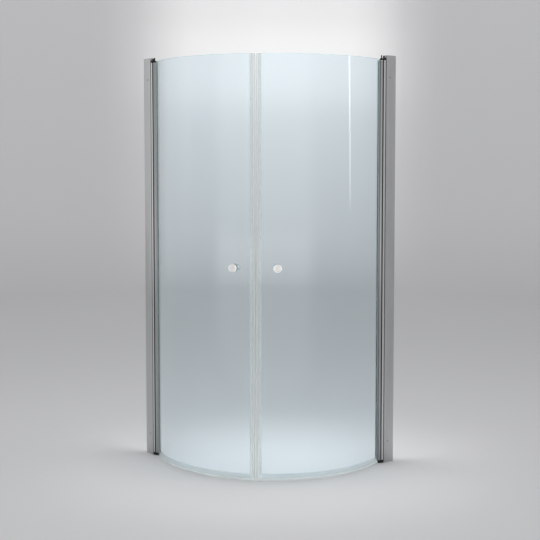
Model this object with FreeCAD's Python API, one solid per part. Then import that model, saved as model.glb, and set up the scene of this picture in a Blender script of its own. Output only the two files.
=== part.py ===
import FreeCAD, Part

import math
import os

# Quadrant shower enclosure: two curved glass doors that close a room corner.
# Frame: +Z up, origin on the floor at the middle of the plan's square.
# The left wall is the plane x = -half_span, the right wall the plane y = +half_span.
# Every piece is made for the left side and mirrored across the plan's diagonal.
# "reach" is measured out from the left wall, "depth" inwards from the outer face of
# the wall channel, and "run" along the middle of the glass from the seam of the doors.

# ---- Driving dimensions, millimetres ---------------------------------------------
total_height = 2000.0          # wall channels, floor to top
wall_leg = 888.0               # room corner to the outer face of each wall channel

door_bow = 391.1               # chord between the hinge axes to the crown of their circle
glass_thickness = 6.0
glass_foot = 12.5              # floor to the lower edge of the glass
glass_top_drop = 20.0          # channel top to the upper edge of the glass

hinge_standoff = 22.0          # wall channel's end to hinge axis
hinge_depth = 12.0             # outer face to hinge axis
hinge_offset = 6.5             # hinge axis outside the middle of the glass

channel_reach = 62.0
channel_width = 26.0
channel_web = 2.0
channel_leg = 1.8
wall_hole_radius = 2.75
wall_hole_margin = 100.0       # first and last wall hole, from the channel's ends
wall_hole_count = 4
cap_plate = 3.0
cap_plug = 11.0
cap_wall = 1.6

frame_start = 20.0             # wall to the frame profile: its adjusting travel
frame_wall = 1.6
frame_fit = 0.3                # frame profile to channel leg, each side
frame_head_gap = 4.5           # channel's end to the frame profile's raised head
frame_head_inset = 0.6         # raised head below the channel's outer face
frame_lip = 4.0                # outer lip that covers the hinge gap
hinge_seat_gap = 1.5           # door tube to the frame profile's seat
seal_thickness = 1.5
hinge_seal_width = 12.0
hinge_seal_gap = 0.4

locking_margin = 106.5         # locking screws, from the channel's ends
locking_reach = 39.0
locking_head_radius = 4.2
locking_head_height = 1.8
locking_head_flat_radius = 2.9
locking_head_rim = 0.6
locking_shank_radius = 1.9
locking_length = 8.0

bracket_foot = 2.0             # floor to the lower bracket
lower_bracket_height = 14.0
upper_bracket_height = 9.0
upper_bracket_drop = 15.0      # channel top to the upper bracket's top
bracket_nose_radius = 8.3
bracket_inner_depth = 20.0
bracket_screw_setback = 5.0    # screw axis behind the hinge seat
bracket_heel_margin = 0.9      # bracket behind the screw's head
bracket_screw_depth = 13.0
bracket_screw_radius = 1.9
bracket_screw_length = 22.0    # into the frame profile
bracket_screw_head_radius = 3.6
upper_screw_head_height = 13.0
lower_screw_head_height = 5.0
screw_port_wall = 1.9
socket_radius = 1.6
socket_depth = 3.0

pin_radius = 3.0
pin_engagement = 18.0          # pin inside the bush
pin_running_clearance = 0.05
bush_length = 20.0
bush_flange = 1.5
bush_flange_radius = 8.0
bush_fit = 0.03
door_lift_gap = 0.3            # bush flange to bracket

tube_radius = 8.5
tube_bore_radius = 6.5
jaw_back = 5.0                 # hinge axis to the back of the jaw, along the glass
glass_edge_setback = 10.5      # hinge axis to the glass edge, along the glass
jaw_reach = 21.0               # hinge axis to the jaw's lips, along the glass
jaw_wall = 1.8
gasket_wall = 1.2
gasket_fit = 0.1               # gasket to the glass
gasket_lip = 1.0

seam_gap = 0.9                 # between the two closing edges
nose_depth = 4.0               # the noses taper, so one door can swing past the other
nose_rounding = 0.9
magnet_head = 11.0             # nose tip to the back of the head
clip_wall = 1.4
clip_web = 1.6
clip_grip = 14.0
clip_fit = 0.1
magnet_profile_foot = 1.5
magnet_setback = 3.2           # nose tip to the magnet
magnet_width = 5.0
magnet_thickness = 4.0
magnet_fit = 0.1
magnet_end_gap = 1.5

drip_grip = 21.5               # wings above the glass edge
drip_base = 1.6
drip_fin_foot = 2.5
drip_fin_thickness = 1.2
drip_end_gap = 0.5

knob_height = 998.0
knob_run = 100.0               # seam to knob axis, along the glass
knob_radius = 19.5
knob_length = 25.0
knob_neck_radius = 10.0
knob_base_radius = 12.0
knob_base_height = 1.0
knob_neck_height = 5.0
knob_flare_height = 11.0
knob_edge = 1.0
knob_recess_radius = 15.5
knob_recess = 3.0
knob_cap_thickness = 1.6
knob_cap_fit = 0.1
knob_bore_depth = 12.0
stud_radius = 3.0
stud_end_gap = 1.0
stud_fit = 0.05
glass_hole_radius = 5.0
washer_radius = 9.0
washer_flange = 1.0
washer_sleeve = 2.5
washer_fit = 0.1

# ---- Worked-out plan -------------------------------------------------------------
glass_half = glass_thickness / 2
clip_half = glass_half + clip_fit + clip_wall

# Both hinge axes lie on one circle, whose centre is on the diagonal, as far from both
# walls. The glass follows a circle hinge_offset inside it.
hinge_reach = channel_reach + hinge_standoff
hinge_u = wall_leg - hinge_depth
hinge_v = hinge_reach
half_chord = (hinge_u - hinge_v) / math.sqrt(2)
hinge_radius = (half_chord ** 2 + door_bow ** 2) / (2 * door_bow)
glass_radius = hinge_radius - hinge_offset
arc_center = (hinge_u + hinge_v) / 2 - (hinge_radius - door_bow) / math.sqrt(2)

hinge_angle = math.pi / 4 + math.atan2(arc_center - hinge_v, hinge_u - arc_center)
hinge_run = hinge_angle * glass_radius
half_span = (arc_center + glass_radius + clip_half) / 2

# ---- Worked-out heights ----------------------------------------------------------
glass_top = total_height - glass_top_drop
lower_bracket_top = bracket_foot + lower_bracket_height
upper_bracket_top = total_height - upper_bracket_drop
upper_bracket_foot = upper_bracket_top - upper_bracket_height
frame_bottom = lower_bracket_top
frame_top = upper_bracket_foot
door_bottom = lower_bracket_top + door_lift_gap + bush_flange
door_top = upper_bracket_foot - door_lift_gap - bush_flange

# ---- Worked-out sections ---------------------------------------------------------
seat_reach = hinge_reach - tube_radius - hinge_seat_gap
head_reach = channel_reach + frame_head_gap
frame_outer_depth = channel_leg + frame_fit
frame_inner_depth = channel_width - channel_leg - frame_fit
screw_reach = seat_reach - bracket_screw_setback
heel_reach = screw_reach - bracket_screw_head_radius - bracket_heel_margin
screw_bore_radius = bracket_screw_radius + stud_fit
glass_hinge_run = hinge_run - glass_edge_setback
glass_seam_run = seam_gap / 2 + magnet_head + clip_web
nose_half_angle = math.atan(clip_half / nose_depth)
nose_apex_run = seam_gap / 2 - nose_rounding * (1 / math.sin(nose_half_angle) - 1)
head_run = nose_apex_run + nose_depth
clip_end_run = glass_seam_run + clip_grip
pocket_half = glass_half + gasket_wall
jaw_half = pocket_half + jaw_wall
# A flat washer on the hollow side of the glass touches at its rim first.
washer_sagitta = washer_radius ** 2 / (2 * (glass_radius - glass_half))


def vector(x, y, z=0.0):
    return FreeCAD.Vector(x, y, z)


def plan_point(reach, depth, height=0.0):
    """Point of the left side, from its distance to the wall and to the outer face."""
    return vector(reach - half_span, half_span - wall_leg + depth, height)


def outward(run):
    """Unit vector that points out of the enclosure at a run along the glass."""
    angle = math.pi / 4 - run / glass_radius
    return vector(math.sin(angle), -math.cos(angle))


def arc_point(offset, run, height=0.0):
    """Point at an offset outside the middle of the glass, at a run from the seam."""
    center = vector(arc_center - half_span, half_span - arc_center, height)
    return center + outward(run) * (glass_radius + offset)


def arc_band(inner, outer, start, end, bottom, top):
    """Upright plate that follows the glass between two offsets and two runs."""
    middle = (start + end) / 2
    outer_arc = Part.Arc(arc_point(outer, start, bottom), arc_point(outer, middle, bottom),
                         arc_point(outer, end, bottom))
    inner_arc = Part.Arc(arc_point(inner, end, bottom), arc_point(inner, middle, bottom),
                         arc_point(inner, start, bottom))
    start_side = Part.LineSegment(arc_point(inner, start, bottom), arc_point(outer, start, bottom))
    end_side = Part.LineSegment(arc_point(outer, end, bottom), arc_point(inner, end, bottom))
    edges = [outer_arc.toShape(), end_side.toShape(), inner_arc.toShape(), start_side.toShape()]
    return Part.Face(Part.Wire(edges)).extrude(vector(0, 0, top - bottom))


def bar(reach_a, reach_b, depth_a, depth_b, bottom, top):
    """Upright bar with a rectangular section, square to the left wall."""
    corner = plan_point(reach_a, depth_a, bottom)
    return Part.makeBox(reach_b - reach_a, depth_b - depth_a, top - bottom, corner)


def post(reach, depth, radius, bottom, top):
    """Upright round bar of the left side."""
    return Part.makeCylinder(radius, top - bottom, plan_point(reach, depth, bottom))


def turned(outline, base, direction):
    """Solid of revolution from (distance, radius) points along a direction."""
    points = [vector(radius, 0, distance) for distance, radius in outline]
    points.append(points[0])
    solid = Part.Face(Part.makePolygon(points)).revolve(vector(0, 0, 0), vector(0, 0, 1), 360)
    solid.Placement = FreeCAD.Placement(base, FreeCAD.Rotation(vector(0, 0, 1), direction))
    return solid


def rod(radius, start, end, base, direction):
    """Round rod between two distances along a direction."""
    return Part.makeCylinder(radius, end - start, base + direction * start, direction)


def both_ends(margin):
    """Heights at the same margin from the channel's two ends."""
    return [margin, total_height - margin]


# ---- Fixed to the wall -----------------------------------------------------------
def wall_channel():
    """U-channel with its web on the wall and its mouth towards the door."""
    outer = bar(0, channel_reach, 0, channel_width, 0, total_height)
    inner = bar(channel_web, channel_reach, channel_leg, channel_width - channel_leg, 0, total_height)
    channel = outer.cut(inner)
    pitch = (total_height - 2 * wall_hole_margin) / (wall_hole_count - 1)
    for index in range(wall_hole_count):
        height = wall_hole_margin + index * pitch
        base = plan_point(0, channel_width / 2, height)
        channel = channel.cut(rod(wall_hole_radius, 0, channel_web, base, vector(1, 0, 0)))
    for height in both_ends(locking_margin):
        base = plan_point(locking_reach, 0, height)
        hole_radius = locking_shank_radius + frame_fit
        channel = channel.cut(rod(hole_radius, 0, channel_leg, base, vector(0, 1, 0)))
    return channel


def channel_caps():
    """Plugs in the channel's two ends: a plate with a hollow skirt."""
    caps = []
    outer_depth = channel_width - channel_leg
    # The skirt stops short of the frame profile, which fills the rest of the channel.
    for plate_low, skirt_low in ((0, cap_plate), (total_height - cap_plate,
                                                  total_height - cap_plate - cap_plug)):
        plate = bar(channel_web, channel_reach, channel_leg, outer_depth,
                    plate_low, plate_low + cap_plate)
        skirt = bar(channel_web, channel_reach, channel_leg, outer_depth,
                    skirt_low, skirt_low + cap_plug)
        hollow = bar(channel_web + cap_wall, channel_reach - cap_wall,
                     channel_leg + cap_wall, outer_depth - cap_wall,
                     skirt_low, skirt_low + cap_plug)
        caps.append(plate.fuse(skirt.cut(hollow)).removeSplitter())
    return Part.makeCompound(caps)


def frame_profile():
    """Box profile with a raised head, a lip over the hinge gap and a screw port."""
    inner_lip = frame_inner_depth
    box = bar(frame_start, seat_reach, frame_outer_depth, inner_lip, frame_bottom, frame_top)
    head = bar(head_reach, seat_reach + frame_lip, frame_head_inset,
               frame_outer_depth + frame_wall, frame_bottom, frame_top)
    hollow = bar(frame_start + frame_wall, seat_reach - frame_wall,
                 frame_outer_depth + frame_wall, inner_lip - frame_wall, frame_bottom, frame_top)
    port = post(screw_reach, bracket_screw_depth, screw_bore_radius + screw_port_wall,
                frame_bottom, frame_top)
    profile = box.fuse(head).cut(hollow).fuse(port)
    bore = post(screw_reach, bracket_screw_depth, screw_bore_radius, frame_bottom, frame_top)
    profile = profile.cut(bore).removeSplitter()
    for height in both_ends(locking_margin):
        base = plan_point(locking_reach, frame_outer_depth, height)
        hole_radius = locking_shank_radius + stud_fit
        profile = profile.cut(rod(hole_radius, 0, frame_wall, base, vector(0, 1, 0)))
    return profile


def channel_seal():
    """Strip in the step between the channel's end and the raised head."""
    return bar(channel_reach + stud_fit, head_reach, frame_outer_depth - seal_thickness,
               frame_outer_depth, frame_bottom, frame_top)


def locking_screws():
    screws = []
    outline = [(-locking_head_height, 0), (-locking_head_height, locking_head_flat_radius),
               (-locking_head_rim, locking_head_radius), (0, locking_head_radius),
               (0, locking_shank_radius), (locking_length, locking_shank_radius),
               (locking_length, 0)]
    for height in both_ends(locking_margin):
        base = plan_point(locking_reach, 0, height)
        screws.append(turned(outline, base, vector(0, 1, 0)))
    return Part.makeCompound(screws)


def hinge_seal():
    """Strip on the hinge seat, hollowed to follow the turning tube."""
    strip = bar(seat_reach, hinge_reach, hinge_depth - hinge_seal_width / 2,
                hinge_depth + hinge_seal_width / 2, frame_bottom, frame_top)
    tube_space = post(hinge_reach, hinge_depth, tube_radius + hinge_seal_gap,
                      frame_bottom, frame_top)
    return strip.cut(tube_space)


def hinge_bracket(bottom, top):
    """End bracket: a plate on the frame profile's end with a round nose at the pivot."""
    heel = bar(heel_reach, seat_reach + frame_lip, frame_head_inset, bracket_inner_depth,
               bottom, top)
    arm = bar(seat_reach, hinge_reach, hinge_depth - bracket_nose_radius,
              hinge_depth + bracket_nose_radius, bottom, top)
    nose = post(hinge_reach, hinge_depth, bracket_nose_radius, bottom, top)
    bracket = heel.fuse(arm).fuse(nose)
    bracket = bracket.cut(post(hinge_reach, hinge_depth, pin_radius, bottom, top))
    shank_hole = post(screw_reach, bracket_screw_depth, screw_bore_radius, bottom, top)
    return bracket.cut(shank_hole).removeSplitter()


def hinge_bracket_top():
    return hinge_bracket(upper_bracket_foot, upper_bracket_top)


def lower_counterbore_top():
    return bracket_foot + stud_fit + lower_screw_head_height


def hinge_bracket_bottom():
    bracket = hinge_bracket(bracket_foot, lower_bracket_top)
    counterbore = post(screw_reach, bracket_screw_depth, bracket_screw_head_radius + stud_fit,
                       bracket_foot, lower_counterbore_top())
    return bracket.cut(counterbore)


def bracket_screws():
    """Cap screws along the frame profile's screw port, one from each end."""
    top_outline = [(-upper_screw_head_height, 0),
                   (-upper_screw_head_height, bracket_screw_head_radius),
                   (0, bracket_screw_head_radius), (0, bracket_screw_radius),
                   (upper_bracket_height + bracket_screw_length, bracket_screw_radius),
                   (upper_bracket_height + bracket_screw_length, 0)]
    base = plan_point(screw_reach, bracket_screw_depth, upper_bracket_top)
    top_screw = turned(top_outline, base, vector(0, 0, -1))
    top_socket = rod(socket_radius, -upper_screw_head_height,
                     socket_depth - upper_screw_head_height, base, vector(0, 0, -1))
    seat = lower_counterbore_top()
    shank = lower_bracket_top - seat + bracket_screw_length
    bottom_outline = [(-lower_screw_head_height, 0),
                      (-lower_screw_head_height, bracket_screw_head_radius),
                      (0, bracket_screw_head_radius), (0, bracket_screw_radius),
                      (shank, bracket_screw_radius), (shank, 0)]
    low_base = plan_point(screw_reach, bracket_screw_depth, seat)
    low_screw = turned(bottom_outline, low_base, vector(0, 0, 1))
    low_socket = rod(socket_radius, -lower_screw_head_height,
                     socket_depth - lower_screw_head_height, low_base, vector(0, 0, 1))
    return Part.makeCompound([top_screw.cut(top_socket), low_screw.cut(low_socket)])


def hinge_pins():
    """Pivot pins: the lower one ends in its bracket, the upper one stands proud."""
    lower = post(hinge_reach, hinge_depth, pin_radius, bracket_foot, lower_bracket_top + pin_engagement)
    upper = post(hinge_reach, hinge_depth, pin_radius, upper_bracket_foot - pin_engagement, total_height)
    return Part.makeCompound([lower, upper])


# ---- Turning with the door -------------------------------------------------------
def door_profile():
    """Tube round the hinge axis with a jaw that holds the glass edge."""
    tube = post(hinge_reach, hinge_depth, tube_radius, door_bottom, door_top)
    jaw = arc_band(-jaw_half, jaw_half, hinge_run - jaw_reach, hinge_run - jaw_back,
                   door_bottom, door_top)
    pocket = arc_band(-pocket_half, pocket_half, hinge_run - jaw_reach,
                      glass_hinge_run + gasket_wall, door_bottom, door_top)
    bore = post(hinge_reach, hinge_depth, tube_bore_radius, door_bottom, door_top)
    return tube.fuse(jaw).cut(pocket).cut(bore).removeSplitter()


def hinge_bushes():
    """Flanged bushes: the lower one carries the door on its bracket."""
    bushes = []
    sleeve_radius = tube_bore_radius - bush_fit
    bore_radius = pin_radius + pin_running_clearance
    outline = [(-bush_flange, bore_radius), (-bush_flange, bush_flange_radius),
               (0, bush_flange_radius), (0, sleeve_radius),
               (bush_length, sleeve_radius), (bush_length, bore_radius)]
    for height, direction in ((door_bottom, vector(0, 0, 1)), (door_top, vector(0, 0, -1))):
        bushes.append(turned(outline, plan_point(hinge_reach, hinge_depth, height), direction))
    return Part.makeCompound(bushes)


def glazing_gasket():
    """U-shaped gasket round the glass edge, with lips that show past the jaw."""
    start = hinge_run - jaw_reach - gasket_lip
    outer = arc_band(-pocket_half, pocket_half, start, glass_hinge_run + gasket_wall,
                     door_bottom, door_top)
    slot_half = glass_half + gasket_fit
    slot = arc_band(-slot_half, slot_half, start, glass_hinge_run + gasket_fit, door_bottom, door_top)
    return outer.cut(slot)


def door_glass():
    """Curved pane with one hole for the knobs."""
    pane = arc_band(-glass_half, glass_half, glass_seam_run, glass_hinge_run, glass_foot, glass_top)
    hole = rod(glass_hole_radius, -2 * glass_thickness, 2 * glass_thickness,
               arc_point(0, knob_run, knob_height), outward(knob_run))
    return pane.cut(hole)


def tapered_nose(bottom, top):
    """Wedge in front of the magnet head, rounded along its foremost edge."""
    apex = arc_point(0, nose_apex_run, bottom)
    corners = [arc_point(-clip_half, head_run, bottom), apex, arc_point(clip_half, head_run, bottom)]
    corners.append(corners[0])
    wedge = Part.Face(Part.makePolygon(corners)).extrude(vector(0, 0, top - bottom))
    middle = apex + vector(0, 0, (top - bottom) / 2)
    front_edge = min(wedge.Edges, key=lambda edge: edge.CenterOfMass.distanceToPoint(middle))
    return wedge.makeFillet(nose_rounding, [front_edge])


def magnet_profile():
    """Clear closing profile: a head with a tapered nose and a clip on the glass edge."""
    bottom = magnet_profile_foot
    nose = tapered_nose(bottom, glass_top)
    head = arc_band(-clip_half, clip_half, head_run, clip_end_run, bottom, glass_top)
    slot_half = glass_half + clip_fit
    slot = arc_band(-slot_half, slot_half, glass_seam_run, clip_end_run, bottom, glass_top)
    magnet_start = seam_gap / 2 + magnet_setback - magnet_fit
    chamber_half = magnet_thickness / 2 + magnet_fit
    chamber = arc_band(-chamber_half, chamber_half, magnet_start,
                       magnet_start + magnet_width + 2 * magnet_fit, bottom, glass_top)
    return nose.fuse(head).cut(slot).cut(chamber).removeSplitter()


def magnet_strip():
    start = seam_gap / 2 + magnet_setback
    return arc_band(-magnet_thickness / 2, magnet_thickness / 2, start, start + magnet_width,
                    magnet_profile_foot + magnet_end_gap, glass_top - magnet_end_gap)


def bottom_seal():
    """Drip seal on the lower glass edge: two wings, a base and two fins."""
    start = clip_end_run + drip_end_gap
    end = hinge_run - jaw_reach - gasket_lip - drip_end_gap
    base_top = glass_foot - clip_fit
    body = arc_band(-clip_half, clip_half, start, end, base_top - drip_base, glass_foot + drip_grip)
    slot_half = glass_half + clip_fit
    slot = arc_band(-slot_half, slot_half, start, end, base_top, glass_foot + drip_grip)
    seal = body.cut(slot)
    for fin_outer in (clip_half, drip_fin_thickness / 2):
        fin = arc_band(fin_outer - drip_fin_thickness, fin_outer, start, end,
                       drip_fin_foot, base_top - drip_base)
        seal = seal.fuse(fin)
    return seal.removeSplitter()


def knob(direction_sign):
    """Turned knob with a waisted neck and a recessed face."""
    direction = outward(knob_run) * direction_sign
    bore_radius = stud_radius + stud_fit
    outline = [(0, bore_radius), (0, knob_base_radius), (knob_base_height, knob_base_radius),
               (knob_neck_height, knob_neck_radius), (knob_flare_height, knob_radius),
               (knob_length - knob_edge, knob_radius), (knob_length, knob_radius - knob_edge),
               (knob_length, knob_recess_radius), (knob_length - knob_recess, knob_recess_radius),
               (knob_length - knob_recess, 0), (knob_bore_depth, 0), (knob_bore_depth, bore_radius)]
    return turned(outline, knob_seat(direction_sign), direction)


def knob_seat(direction_sign):
    """Middle of a knob's base, on its washer."""
    stand = glass_half + washer_flange
    if direction_sign < 0:
        stand = -(stand + washer_sagitta)
    return arc_point(stand, knob_run, knob_height)


def knob_outer():
    return knob(1)


def knob_inner():
    return knob(-1)


def knob_caps():
    """Face inserts on the floors of the two recesses."""
    caps = []
    floor = knob_length - knob_recess
    for sign in (1, -1):
        caps.append(rod(knob_recess_radius - knob_cap_fit, floor, floor + knob_cap_thickness,
                        knob_seat(sign), outward(knob_run) * sign))
    return Part.makeCompound(caps)


def knob_washers():
    """Flanged washers, one from each face of the glass."""
    washers = []
    hole_radius = stud_radius + washer_fit
    sleeve_radius = glass_hole_radius - washer_fit
    outline = [(0, hole_radius), (0, washer_radius), (-washer_flange, washer_radius),
               (-washer_flange, sleeve_radius), (-washer_flange - washer_sleeve, sleeve_radius),
               (-washer_flange - washer_sleeve, hole_radius)]
    for sign in (1, -1):
        washers.append(turned(outline, knob_seat(sign), outward(knob_run) * sign))
    return Part.makeCompound(washers)


def knob_stud():
    """Threaded stud through the glass, screwed into both knobs."""
    half_length = glass_half + washer_flange + knob_bore_depth - stud_end_gap
    return rod(stud_radius, -half_length, half_length, arc_point(0, knob_run, knob_height),
               outward(knob_run))


pieces = [wall_channel, channel_caps, frame_profile, channel_seal, locking_screws, hinge_seal,
          hinge_bracket_top, hinge_bracket_bottom, bracket_screws, hinge_pins, door_profile,
          hinge_bushes, glazing_gasket, door_glass, magnet_profile, magnet_strip, bottom_seal,
          knob_outer, knob_inner, knob_caps, knob_washers, knob_stud]

os.makedirs("parts", exist_ok=True)
for piece in pieces:
    left = piece()
    # The right side is the left one mirrored across the plan's diagonal.
    right = left.mirror(vector(0, 0), vector(1, 1))
    for side, shape in (("left", left), ("right", right)):
        shape.exportStep(f"parts/{side}_{piece.__name__}.step")
        print(f"{side}_{piece.__name__}: {len(shape.Solids)} solids, valid {shape.isValid()}, "
              f"{shape.Volume / 1000:.2f} cm3")

hinge_point = plan_point(hinge_reach, hinge_depth)
print(f"half span {half_span:.4f}, arc centre {arc_center:.4f} from each wall, "
      f"glass radius {glass_radius:.4f}")
print(f"left hinge axis at x {hinge_point.x:.4f}, y {hinge_point.y:.4f}")
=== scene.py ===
# %% [markdown]
# # A quadrant shower enclosure
# Two curved glass doors close a corner. Each hangs on an aluminium wall profile
# and meets the other at a pair of magnet strips. The measured solids come
# in as a frame: they say where everything is and what turns with which door.
# The pieces below are made again in finer detail, exactly over those solids.

import math

import bmesh
import bpy
from mathutils import Matrix, Vector
from mathutils.geometry import tessellate_polygon


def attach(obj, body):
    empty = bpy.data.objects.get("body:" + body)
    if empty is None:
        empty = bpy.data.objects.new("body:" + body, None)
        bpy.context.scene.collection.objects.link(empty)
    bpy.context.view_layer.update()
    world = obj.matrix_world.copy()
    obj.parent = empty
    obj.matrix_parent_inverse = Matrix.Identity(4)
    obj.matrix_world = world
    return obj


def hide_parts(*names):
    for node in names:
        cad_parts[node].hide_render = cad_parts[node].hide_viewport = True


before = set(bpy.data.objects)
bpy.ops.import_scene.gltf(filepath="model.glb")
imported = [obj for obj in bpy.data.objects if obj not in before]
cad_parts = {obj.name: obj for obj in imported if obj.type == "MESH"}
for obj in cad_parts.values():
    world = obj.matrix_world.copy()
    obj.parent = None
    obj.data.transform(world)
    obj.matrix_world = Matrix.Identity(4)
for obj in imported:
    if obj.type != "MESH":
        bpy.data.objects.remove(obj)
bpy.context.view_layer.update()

# %% [markdown]
# ## Sizes
# The real enclosure is symmetric about its plan's diagonal, so only its left half
# is measured out here, in millimetres, and the right half is its mirror image.
# *Reach* is the distance from the back of the left wall channel, *depth* goes
# inwards from its outer face, *run* follows the glass from the seam of the doors
# and *offset* is how far outside the middle of the glass a point lies.

# %% Plan sizes in millimetres
MM = 0.001
UP = Vector((0, 0, 1))
total_height = 2000.0
wall_leg = 888.0
door_bow = 391.1
hinge_reach = 84.0
hinge_depth = 12.0
hinge_offset = 6.5
half_chord = (wall_leg - hinge_depth - hinge_reach) / math.sqrt(2)
hinge_radius = (half_chord ** 2 + door_bow ** 2) / (2 * door_bow)
glass_radius = hinge_radius - hinge_offset
arc_center = (wall_leg - hinge_depth + hinge_reach) / 2 - (hinge_radius - door_bow) / math.sqrt(2)
hinge_angle = math.pi / 4 + math.atan2(arc_center - hinge_reach,
                                       wall_leg - hinge_depth - arc_center)
hinge_run = hinge_angle * glass_radius
clip_half = 4.5
half_span = (arc_center + glass_radius + clip_half) / 2
print(f"glass radius {glass_radius:.2f} mm, hinge at run {hinge_run:.2f} mm")


def plan_point(reach, depth, height=0.0):
    return Vector((reach - half_span, half_span - wall_leg + depth, height))


def outward(run):
    angle = math.pi / 4 - run / glass_radius
    return Vector((math.sin(angle), -math.cos(angle), 0.0))


def arc_point(offset, run, height=0.0):
    center = Vector((arc_center - half_span, half_span - arc_center, height))
    return center + outward(run) * (glass_radius + offset)


# %% [markdown]
# ## Three ways to make a closed shape
# Extruded aluminium, seals and panes all keep one section along their length, so an
# outline is pulled along a straight line and its end edges are eased, as a saw cut
# is deburred. Screws and knobs are turned on a lathe, so an outline is spun. Corners
# are rounded in the outline itself, which gives clean, even highlights.

# %% Rounded outlines
def rounded(corners, steps=4):
    """Points of a closed outline, from (x, y, rounding) corners."""
    points = []
    for index, (x, y, rounding) in enumerate(corners):
        here = Vector((x, y))
        before = (Vector(corners[index - 1][:2]) - here).normalized()
        after = (Vector(corners[(index + 1) % len(corners)][:2]) - here).normalized()
        if rounding == 0:
            points.append(here)
            continue
        half = before.angle(after) / 2
        middle = here + (before + after).normalized() * (rounding / math.sin(half))
        first = here + before * (rounding / math.tan(half)) - middle
        last = here + after * (rounding / math.tan(half)) - middle
        start = math.atan2(first.y, first.x)
        turn = (math.atan2(last.y, last.x) - start + math.pi) % (2 * math.pi) - math.pi
        for step in range(steps + 1):
            angle = start + turn * step / steps
            points.append(middle + Vector((math.cos(angle), math.sin(angle))) * rounding)
    return points


def rounded_box(low_x, low_y, high_x, high_y, rounding, steps=4):
    return rounded([(low_x, low_y, rounding), (high_x, low_y, rounding),
                    (high_x, high_y, rounding), (low_x, high_y, rounding)], steps)


def arc(x, y, radius, first, turn, steps):
    """Points from a first direction through a turn, with both ends."""
    angles = [first + turn * i / steps for i in range(steps + 1)]
    return [Vector((x + radius * math.cos(a), y + radius * math.sin(a))) for a in angles]


def full_circle(x, y, radius, steps=32):
    return arc(x, y, radius, 0, 2 * math.pi, steps)[:-1]


# %% Pulling an outline
EASED = ((0.0, 1.0), (0.293, 0.293), (1.0, 0.0))     # a quarter round in two steps


def signed_area(points):
    return sum(a.x * b.y - b.x * a.y for a, b in zip(points, points[1:] + points[:1])) / 2


def inset_directions(points):
    """For each point, the way into the material, long enough to keep edges parallel."""
    directions = []
    for index, here in enumerate(points):
        before = (here - points[index - 1]).normalized()
        after = (points[(index + 1) % len(points)] - here).normalized()
        side_a, side_b = Vector((-before.y, before.x)), Vector((-after.y, after.x))
        both = (side_a + side_b).normalized()
        directions.append(both / max(both.dot(side_a), 0.5))
    return directions


def upwards(a, b, distance):
    return Vector((a, b, distance))


def pulled(shape, outlines, start, end, ease=0.0, along=upwards, stops=()):
    """Pulls an outline, and any holes after it, from start to end as a closed solid."""
    rings = []
    for index, points in enumerate(outlines):
        keep = (signed_area(points) > 0) == (index == 0)
        points = list(points) if keep else list(reversed(points))
        rings.append((points, inset_directions(points)))
    eased = EASED if ease else ((0.0, 0.0),)
    levels = [(start + up * ease, inside * ease) for up, inside in eased]
    levels += [(stop, 0.0) for stop in stops]
    levels += [(end - up * ease, inside * ease) for up, inside in reversed(eased)]
    grid = []
    for distance, inside in levels:
        level = []
        for points, ways in rings:
            level.append([shape.verts.new(along(*(p + w * inside), distance))
                          for p, w in zip(points, ways)])
        grid.append(level)
    for lower, upper in zip(grid, grid[1:]):
        for low_ring, high_ring in zip(lower, upper):
            for i in range(len(low_ring)):
                j = (i + 1) % len(low_ring)
                shape.faces.new((low_ring[i], low_ring[j], high_ring[j], high_ring[i]))
    flat = [[(p + w * levels[0][1]).to_3d() for p, w in zip(*ring)] for ring in rings]
    corners = [p for ring in flat for p in ring]
    for level, top in ((grid[0], False), (grid[-1], True)):
        verts = [v for ring in level for v in ring]
        for a, b, c in tessellate_polygon(flat):
            upright = (corners[b] - corners[a]).cross(corners[c] - corners[a]).z > 0
            order = (a, b, c) if upright == top else (a, c, b)
            shape.faces.new([verts[i] for i in order])


# %% Spinning an outline
def turned(shape, outline, base, direction, steps=64):
    """Spins a (distance, radius) outline round a direction into a closed solid."""
    radius_of = shape.verts.layers.float.get("turned_radius")
    if radius_of is None:
        radius_of = shape.verts.layers.float.new("turned_radius")
    direction = direction.normalized()
    side = direction.orthogonal().normalized()
    other = direction.cross(side)
    rings = []
    for distance, radius in outline:
        ring = []
        for i in range(steps if radius > 0 else 1):
            angle = 2 * math.pi * i / steps
            arm = (side * math.cos(angle) + other * math.sin(angle)) * radius
            vert = shape.verts.new(base + direction * distance + arm)
            vert[radius_of] = radius * MM
            ring.append(vert)
        rings.append(ring)
    made = []
    for ring, following in zip(rings, rings[1:] + rings[:1]):
        for i in range(steps):
            j = (i + 1) % steps
            corners = [ring[i % len(ring)], ring[j % len(ring)],
                       following[j % len(following)], following[i % len(following)]]
            corners = list(dict.fromkeys(corners))
            if len(corners) > 2:
                made.append(shape.faces.new(corners))
    bmesh.ops.recalc_face_normals(shape, faces=made)


# %% Meshes from shapes
CRISP = math.radians(32)


def mesh_of(name, shape):
    """Turns a shape in millimetres into a mesh in metres."""
    bmesh.ops.scale(shape, vec=(MM, MM, MM), verts=shape.verts)
    mesh = bpy.data.meshes.new(name)
    shape.to_mesh(mesh)
    shape.free()
    return mesh


def wall_mesh(name, shape):
    """A mesh from a shape that was drawn in reach and depth."""
    mesh = mesh_of(name, shape)
    mesh.transform(Matrix.Translation(plan_point(0, 0) * MM))
    return mesh


def smoothed(mesh):
    mesh.shade_smooth()
    mesh.set_sharp_from_angle(angle=CRISP)
    return mesh


def baked(mesh, add_modifier):
    """The mesh as it is after one modifier, on a helper object that is then removed."""
    helper = bpy.data.objects.new("helper", mesh)
    bpy.context.scene.collection.objects.link(helper)
    add_modifier(helper)
    bpy.context.view_layer.update()
    result = bpy.data.meshes.new_from_object(
        helper.evaluated_get(bpy.context.evaluated_depsgraph_get()))
    bpy.data.objects.remove(helper)
    return result


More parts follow.
